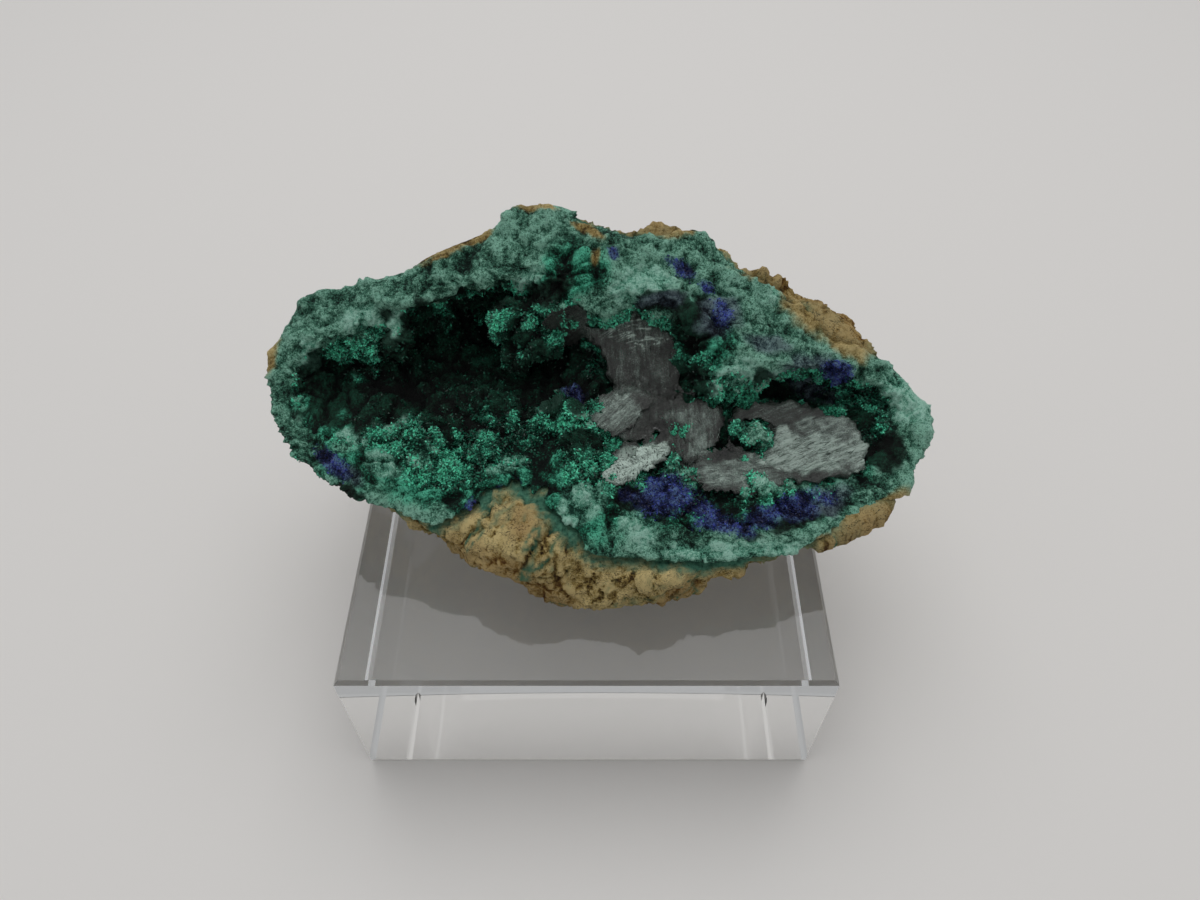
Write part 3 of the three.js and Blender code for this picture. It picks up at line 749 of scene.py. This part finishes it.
# The dark mask is painted shade over the cavity; it also thins the prisms there.
dark = smooth_step(0.2, 0.8, patched(crust_points, CAVE_SHADE_PATCHES, 0.9, 151))
mint = patched(crust_points, MINT_PATCHES, 0.8)
azurite = patched(crust_points, AZURITE_PATCHES, 0.7)
store(
    crust.data,
    crest=crest_kept,
    rim=rim,
    mint=mint,
    azurite=0.95 * azurite,
    dull_blue=0.8 * patched(crust_points, DULL_BLUE_AND_LIT_PATCHES, 0.7, 141),
    dark=dark,
    earth=patched(crust_points, EARTH_PATCHES, 0.6, 161),
)
crust_raised = crust_points + (open_crust * rise + shift)[:, None] * crust_outward
write_points(crust.data, crust_raised)
crust.data.materials.append(crust_finish())
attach(crust, "root")
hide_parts("brochantite_crust")

# The loose-looking crystals. They are prisms of brochantite and azurite a third of a
# millimetre long, with pointed ends, grown out of the crust wherever it isn't velvety.
PRISM_POINTS = np.array(
    [(0, 0, -0.4), (0.5, 0, 0.3), (0, 0.5, 0.3), (-0.5, 0, 0.3), (0, -0.5, 0.3), (0, 0, 1)]
)
PRISM_FACES = np.array(
    [(0, 2, 1), (0, 3, 2), (0, 4, 3), (0, 1, 4), (1, 2, 5), (2, 3, 5), (3, 4, 5), (4, 1, 5)]
)
PRISM_COUNT = 24000
GREEN_WIDTH = 0.20
BLUE_WIDTH = 0.15


def surface_triangles(mesh):
    """The corners of a mesh's triangles, in point numbers."""
    mesh.calc_loop_triangles()
    corners = np.empty(len(mesh.loop_triangles) * 3, np.int64)
    mesh.loop_triangles.foreach_get("vertices", corners)
    return corners.reshape(-1, 3)


def seeded_places(points, triangles, weight, count, seed):
    """Random places on a surface, as often as area times weight asks. Gives each place, its
    triangle's outward direction and its random source."""
    chance = np.random.default_rng(seed)
    a, b, c = (points[triangles[:, k]] for k in range(3))
    facing = np.cross(b - a, c - a)
    area = np.linalg.norm(facing, axis=1)
    odds = area * weight[triangles].mean(1)
    picked = chance.choice(len(triangles), count, p=odds / odds.sum())
    u, v = chance.random(count), chance.random(count)
    over = u + v > 1
    u[over], v[over] = 1 - u[over], 1 - v[over]
    places = a[picked] + u[:, None] * (b - a)[picked] + v[:, None] * (c - a)[picked]
    return places, facing[picked] / area[picked][:, None], picked, chance


def unit(vectors):
    """Vectors made one unit long."""
    return vectors / np.linalg.norm(vectors, axis=-1, keepdims=True)


def copies_of(shape, faces, places, axes, widths, lengths, chance):
    """One mesh's points and faces: a small shape stood at every place along its own axis,
    turned about it at random, and stretched to its own width and length."""
    side = unit(np.cross(axes, chance.normal(size=axes.shape)))
    other = np.cross(axes, side)
    across = shape[None, :, 0, None] * side[:, None] + shape[None, :, 1, None] * other[:, None]
    along = shape[None, :, 2, None] * axes[:, None]
    points = places[:, None] + widths[:, None, None] * across + lengths[:, None, None] * along
    first = np.arange(len(places))[:, None, None] * len(shape)
    return points.reshape(-1, 3), (faces[None] + first).reshape(-1, 3)


def grown_piece(name, points, faces, finish, slot, **layers):
    """A piece of many small flat-faced crystals, joined in one mesh."""
    mesh = bpy.data.meshes.new(name)
    mesh.from_pydata((points * MM).tolist(), [], faces.tolist())
    store(mesh, **layers)
    mesh.materials.append(finish)
    piece = bpy.data.objects.new(name, mesh)
    bpy.context.scene.collection.objects.link(piece)
    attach(piece, "root")
    return piece


def prism_finish(name, dark, light):
    """Glassy crystal of one hue, each prism a shade of its own."""
    finish, tree, shader = new_finish(name)
    tree.links.new(ramp(tree, kept(tree, "shade"), (0, dark), (1, light)), shader.inputs["Base Color"])
    shader.inputs["Roughness"].default_value = 0.3
    shader.inputs["IOR"].default_value = 1.6
    shader.inputs["Specular IOR Level"].default_value = 0.3
    return finish


crust_triangles = surface_triangles(crust.data)
glassy = (1 - rim) * smooth_step(1.0, 2.0, from_rock) * smooth_step(0.2, 1.2, sunk)
glassy *= (0.2 + crest_kept) * (1 - 0.8 * mint) * (1 - azurite) * (1 - 0.95 * dark)
left = smooth_step(2, -2, crust_points[:, 0])
green_prisms = prism_finish("brochantite_prisms", (0.001, 0.022, 0.012), (0.12, 0.72, 0.45))
blue_prisms = prism_finish("azurite_prisms", (0.004, 0.005, 0.03), (0.06, 0.09, 0.42))
PRISM_KINDS = [
    ("green_prisms_left", green_prisms, glassy * left, PRISM_COUNT, GREEN_WIDTH),
    ("green_prisms_right", green_prisms, glassy * (1 - left), PRISM_COUNT, GREEN_WIDTH),
    ("blue_prisms", blue_prisms, azurite, PRISM_COUNT // 4, BLUE_WIDTH),
]
for seed, (name, finish, weight, count, width) in enumerate(PRISM_KINDS, 1):
    places, facing, picked, chance = seeded_places(crust_raised, crust_triangles, weight, count, seed)
    axes = unit(facing + 0.7 * chance.normal(size=facing.shape))
    widths = width * chance.uniform(0.65, 1.35, count)
    lengths = widths * chance.uniform(0.8, 1.9, count)
    points, faces = copies_of(PRISM_POINTS, PRISM_FACES, places, axes, widths, lengths, chance)
    home = crust_triangles[picked, 0]
    # Prisms on crests and mint are lighter, and those in gaps and the dark patches darker: painted
    # shade, on top of each prism's random shade.
    light = 0.3 + 1.7 * smooth_step(0.3, 0.85, crest_kept[home]) + 1.2 * mint[home]
    shade = np.clip(light * chance.beta(0.8, 1.6, count) * (1 - 0.9 * dark[home]), 0, 1)
    grown_piece(name, points, faces, finish, "brochantite", shade=np.repeat(shade, len(PRISM_POINTS)))

# The gypsum. Clear selenite grew last: a column with its foot, and a slab in the right-hand
# pocket. Fine grooves run down them, and they split into thin plates with ragged, frosted
# edges, which lie on one another and on the crust.
GYPSUM_IOR = 1.52
GYPSUM_SQUARE = 0.18
GYPSUM_ROUNDING = 6
MAP_CELL = 5  # of the photograph's pixels

# Where the gypsum is white: middle, half size, tilt and whiteness. The strip is sugary.
# The small spot at full whiteness is a painted highlight; the rest is frost.
STRIP_PATCH = (633, 462, 38, 14, -25)
FROST_AND_HIGHLIGHT_PATCHES = [
    (STRIP_PATCH, 0.85),
    ((814, 454, 52, 20, 0), 0.95),
    ((830, 430, 34, 16, 10), 0.5),
    # a painted highlight on the slab
    ((783, 433, 7, 9, 0), 1.0),
    ((740, 476, 56, 14, 5), 0.55),
    ((614, 412, 32, 24, -20), 0.55),
    ((688, 424, 34, 16, -10), 0.38),
    ((708, 442, 20, 12, -30), 0.5),
    ((590, 322, 12, 18, 0), 0.35),
    ((640, 330, 40, 14, 8), 0.3),
    ((640, 372, 38, 44, 0), 0.16),
    ((688, 344, 9, 8, 0), 0.4),
    ((856, 452, 12, 22, 0), 0.7),
    ((770, 412, 40, 10, 0), 0.2),
]

# Plates that the photograph shows, outlined in its pixels, with the lean of their grooves
# from upright, how far they stand proud and their thickness.
STRIP = [(603, 474), (612, 465), (634, 459), (652, 449), (664, 440), (671, 452), (656, 465)]
STRIP += [(640, 470), (610, 482)]
FOOT = [(588, 408), (600, 396), (622, 398), (640, 391), (654, 398), (640, 413), (624, 431)]
FOOT += [(606, 434), (594, 425)]
BAND = [(664, 452), (688, 446), (712, 452), (740, 462), (778, 468), (790, 477), (762, 491)]
BAND += [(724, 488), (690, 476)]
ARM = [(542, 322), (560, 311), (590, 312), (606, 322), (600, 342), (584, 338), (566, 346)]
ARM += [(553, 360), (548, 342)]
PLATES = [
    ("sugary_strip", STRIP, 70, 0.8, 0.7),
    ("left_foot", FOOT, 50, 0.4, 0.4),
    ("lower_band", BAND, 80, 0.45, 0.5),
    ("dark_arm", ARM, 60, 0.3, 0.4),
]
PLATE_RINGS = 16
PLATE_SPOKES = 220
CRESCENT_CENTRE = (648, 402)  # the curved cracks in the column's head, in the same pixels
CRESCENT_AREA = [(646, 331, 46, 17, 6)]
CLEAR_PATCHES = [(667, 429, 15, 9, 0), (724, 438, 12, 20, 0)]
SPLINTERS = 1800
TORN_ENDS = 2.2  # millimetres that the grooves' ends are torn in or drawn out at most


def drawn(tree, spacing, length, lean):
    """Noise drawn out along a lean from upright in the photograph's plane."""
    place = tree.nodes.new("ShaderNodeTexCoord")
    mapping = tree.nodes.new("ShaderNodeMapping")
    mapping.vector_type = "TEXTURE"
    upright = Matrix.Rotation(-LENS_DOWN, 3, "X") @ Matrix.Rotation(math.radians(lean), 3, "Y")
    mapping.inputs["Rotation"].default_value = upright.to_euler()
    mapping.inputs["Scale"].default_value = (1, 1, length)
    pattern = tree.nodes.new("ShaderNodeTexNoise")
    pattern.inputs["Scale"].default_value = 1 / (spacing * MM)
    pattern.inputs["Detail"].default_value = 5
    pattern.inputs["Roughness"].default_value = 0.7
    tree.links.new(place.outputs["Object"], mapping.inputs["Vector"])
    tree.links.new(mapping.outputs["Vector"], pattern.inputs["Vector"])
    return pattern.outputs[0]


def gypsum_finish(name, clear, lean, length):
    """Grey, clouded selenite: some light goes through, and white grooves and frost catch it."""
    finish, tree, shader = new_finish(name)
    striped = drawn(tree, 0.2, length, lean)
    cloud = summed(tree, (kept(tree, "groove"), 1.0), (striped, 0.6), (speckle(tree, 0.14, 7), 0.9))
    tint = ramp(
        tree,
        cloud,
        (0.05, (0.016, 0.017, 0.015)),
        (0.30, (0.060, 0.064, 0.056)),
        (0.55, (0.215, 0.275, 0.240)),
        (0.85, (0.73, 0.90, 0.80)),
    )
    tree.links.new(tint, shader.inputs["Base Color"])
    shader.inputs["Roughness"].default_value = 0.25
    shader.inputs["IOR"].default_value = GYPSUM_IOR
    shader.inputs["Transmission Weight"].default_value = clear
    bumped(tree, shader, striped, 0.2)
    return finish


def front_depths(points):
    """How far along the line of sight the front surface lies, for each cell of the
    photograph: the nearest of the points that it shows there."""
    across, down = photo_place(points)
    column, row = (across / MAP_CELL).astype(int), (down / MAP_CELL).astype(int)
    depths = np.full((PHOTO_SIZE[1] // MAP_CELL, PHOTO_SIZE[0] // MAP_CELL), np.inf)
    np.minimum.at(depths, (row, column), (points - LENS_PLACE) @ SIGHT)
    return depths


def from_photo(across, down, depth):
    """The point at a depth that the photograph shows at a pixel."""
    focal = PHOTO_SIZE[0] * LENS_LENGTH / SENSOR_WIDTH
    right = (across - PHOTO_SIZE[0] / 2) * depth / focal
    rise = (PHOTO_SIZE[1] / 2 - down) * depth / focal
    return LENS_PLACE + np.outer(right, [1, 0, 0]) + np.outer(rise, UPWARD) + np.outer(depth, SIGHT)


def ragged_plate(depths, outline, proud, thickness, seed):
    """A closed plate under an outline seen in the photograph. Its rings shrink from the
    torn outline to the middle, and it follows the surface below, flattened."""
    corners = np.array(outline, float)
    middle = corners.mean(0)
    lean = np.arctan2(corners[:, 1] - middle[1], corners[:, 0] - middle[0])
    order = np.argsort(lean)
    reach = np.hypot(*(corners - middle).T)[order]
    angle = np.linspace(-math.pi, math.pi, PLATE_SPOKES, endpoint=False)
    radius = np.interp(angle, lean[order], reach, period=2 * math.pi)
    ring = np.stack([np.cos(angle), np.sin(angle)], 1)
    torn = rough_noise(ring @ np.eye(2, 3) * radius[:, None] + seed * 9.7, 8.0, 5)
    radius += 6 * torn + 4 * rough_noise(ring @ np.eye(2, 3) * radius[:, None] + seed * 3.1, 3.0, 3)
    share = np.linspace(0, 1, PLATE_RINGS + 1)[1:]
    across = middle[0] + (share[:, None] * radius * np.cos(angle)).ravel()
    down = middle[1] + (share[:, None] * radius * np.sin(angle)).ravel()
    across, down = np.append(middle[0], across), np.append(middle[1], down)
    found = depths[(down / MAP_CELL).astype(int), (across / MAP_CELL).astype(int)]
    basis = np.stack([np.ones_like(across), across - middle[0], down - middle[1]], 1)
    known = np.isfinite(found)
    flat = basis @ np.linalg.lstsq(basis[known], found[known], rcond=None)[0]
    lift = np.append(0, np.repeat(share, PLATE_SPOKES))
    spot = np.stack([across, down, np.full_like(across, seed * 13)], 1) / 10
    top = flat - proud - 0.25 * thickness * (1 - lift**4) + 0.14 * rough_noise(spot, 1.0, 3)
    front = from_photo(across, down, top)
    back = from_photo(across, down, top + thickness * (1 - lift**6) + 0.02)
    spokes = np.arange(PLATE_SPOKES)
    ahead = (spokes + 1) % PLATE_SPOKES
    fan = np.stack([np.zeros_like(spokes), 1 + ahead, 1 + spokes], 1)
    inner = 1 + (np.arange(PLATE_RINGS - 1)[:, None] * PLATE_SPOKES)
    a, b = (inner + spokes).ravel(), (inner + ahead).ravel()
    c, d = b + PLATE_SPOKES, a + PLATE_SPOKES
    sheet = np.concatenate([fan, np.stack([a, b, c], 1), np.stack([a, c, d], 1)])
    count = len(across)
    edge = count - PLATE_SPOKES
    rim_faces = np.concatenate(
        [
            np.stack([edge + spokes, edge + ahead, count + edge + ahead], 1),
            np.stack([edge + spokes, count + edge + ahead, count + edge + spokes], 1),
        ]
    )
    faces = np.concatenate([sheet, sheet[:, ::-1] + count, rim_faces])
    return np.concatenate([front, back]), faces


def grooves(points, lean):
    """Fine noise drawn out along grooves that lean from upright in the photograph."""
    turn = math.radians(lean)
    across, down = photo_place(points)
    aside = across * math.cos(turn) + down * math.sin(turn)
    along = down * math.cos(turn) - across * math.sin(turn)
    stretched = np.stack([aside / 5, along / 50, np.zeros_like(aside)], 1)
    return rough_noise(stretched, 0.45, 4, 131)


def crescents(points):
    """Curved cracks in the column's head: noise drawn out along circles round a centre."""
    across, down = photo_place(points)
    dx, dy = across - CRESCENT_CENTRE[0], down - CRESCENT_CENTRE[1]
    rings = np.stack([np.hypot(dx, dy) / 5, 2.5 * np.arctan2(dx, -dy), np.zeros_like(dx)], 1)
    crack = np.exp(-((rough_noise(rings, 0.8, 2, 221) / 0.09) ** 2))
    return crack * patched(points, CRESCENT_AREA, 0.3, 231)


def whiteness(points):
    """How white the gypsum is at each point, from 0.08 where it is clear: frost, and one painted
    highlight.
    """
    white = np.full(len(points), 0.08)
    for patch, strength in FROST_AND_HIGHLIGHT_PATCHES:
        white = np.maximum(white, strength * patched(points, [patch], 0.6, 201))
    return white


def clouded(points, lean):
    """The number that sets the gypsum's tone: whiteness, grooves and sugary grain."""
    white = whiteness(points)
    groove = (0.16 + 0.08 * white) * grooves(points, lean) + 0.5 * crescents(points)
    sugar = (0.1 + 0.2 * white) * rough_noise(points, 0.45, 3, 211)
    clear = 0.3 * patched(points, CLEAR_PATCHES, 0.4)
    return np.clip(0.22 + 0.66 * white + groove + sugar - clear, 0, 1)


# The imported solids, the names of their finished pieces and the lean of their grooves.
GYPSUM_BODIES = [("gypsum_column", "selenite_column", -3), ("gypsum_slab", "selenite_slab", 68)]
gypsum_surfaces = []
gypsum_triangles = []
gypsum_leans = []
for node, name, lean in GYPSUM_BODIES:
    piece = evened_copy(node, name, GYPSUM_SQUARE, GYPSUM_ROUNDING)
    points, outward = read_surface(piece.data)
    groove = grooves(points, lean)
    frost = rough_noise(points, 0.9, 3, 141)
    edge = 1 - np.abs(outward @ SIGHT)
    rise = 0.2 * groove + (0.1 + 0.9 * edge) * frost
    turn = math.radians(lean)
    along = np.array([-math.sin(turn), 0, 0]) - math.cos(turn) * UPWARD
    end = (outward @ along)[:, None]
    torn = rough_noise(points - (points @ along)[:, None] * along, 1.3, 4, 151)
    points = points + rise[:, None] * outward + TORN_ENDS * torn[:, None] * end * np.abs(end) * along
    gypsum_triangles.append(surface_triangles(piece.data) + sum(map(len, gypsum_surfaces)))
    gypsum_surfaces.append(points)
    gypsum_leans.append(np.full(len(points), lean))
    write_points(piece.data, points)
    store(piece.data, groove=clouded(points, lean))
    piece.data.materials.append(gypsum_finish(name, 0.5, lean, 9))
    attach(piece, "root")
    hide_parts(node)

depths = front_depths(np.concatenate([crust_raised, *gypsum_surfaces]))
for seed, (name, outline, lean, proud, thickness) in enumerate(PLATES, 1):
    points, faces = ragged_plate(depths, outline, proud, thickness, seed)
    length, clear = (1, 0.2) if name == "sugary_strip" else (4, 0.5)
    finish = gypsum_finish(name, clear, lean, length)
    plate = grown_piece(name, points, faces, finish, "gypsum", groove=clouded(points, lean))
    plate.data.polygons.foreach_set("use_smooth", np.ones(len(faces), bool))
    gypsum_triangles.append(faces + sum(map(len, gypsum_surfaces)))
    gypsum_surfaces.append(points)
    gypsum_leans.append(np.full(len(points), lean))

gypsum_points = np.concatenate(gypsum_surfaces)
gypsum_faces = np.concatenate(gypsum_triangles)
turns = np.radians(np.concatenate(gypsum_leans))
showing = whiteness(gypsum_points) ** 3
places, facing, picked, chance = seeded_places(gypsum_points, gypsum_faces, showing, SPLINTERS, 5)
sugary = patched(gypsum_points, [STRIP_PATCH], 0.6)[gypsum_faces[picked, 0]] > 0.5
turn = turns[gypsum_faces[picked, 0]] + (0.16 + 1.4 * sugary) * chance.normal(size=SPLINTERS)
axes = np.outer(np.sin(turn), [-1, 0, 0]) - np.outer(np.cos(turn), UPWARD)
axes = unit(axes - (axes * facing).sum(1)[:, None] * facing + 0.05 * facing)
widths = chance.uniform(0.04, 0.085, SPLINTERS) + 0.08 * sugary
lengths = chance.uniform(0.2, 1.1, SPLINTERS) * (1 - 0.7 * sugary)
points, faces = copies_of(PRISM_POINTS, PRISM_FACES, places, axes, widths, lengths, chance)
shade = np.repeat(chance.beta(1.5, 1.5, SPLINTERS), len(PRISM_POINTS))
finish = gypsum_finish("selenite_splinters", 0.5, 0, 1)
grown_piece("selenite_splinters", points, faces, finish, "gypsum", groove=0.4 + 0.4 * shade)
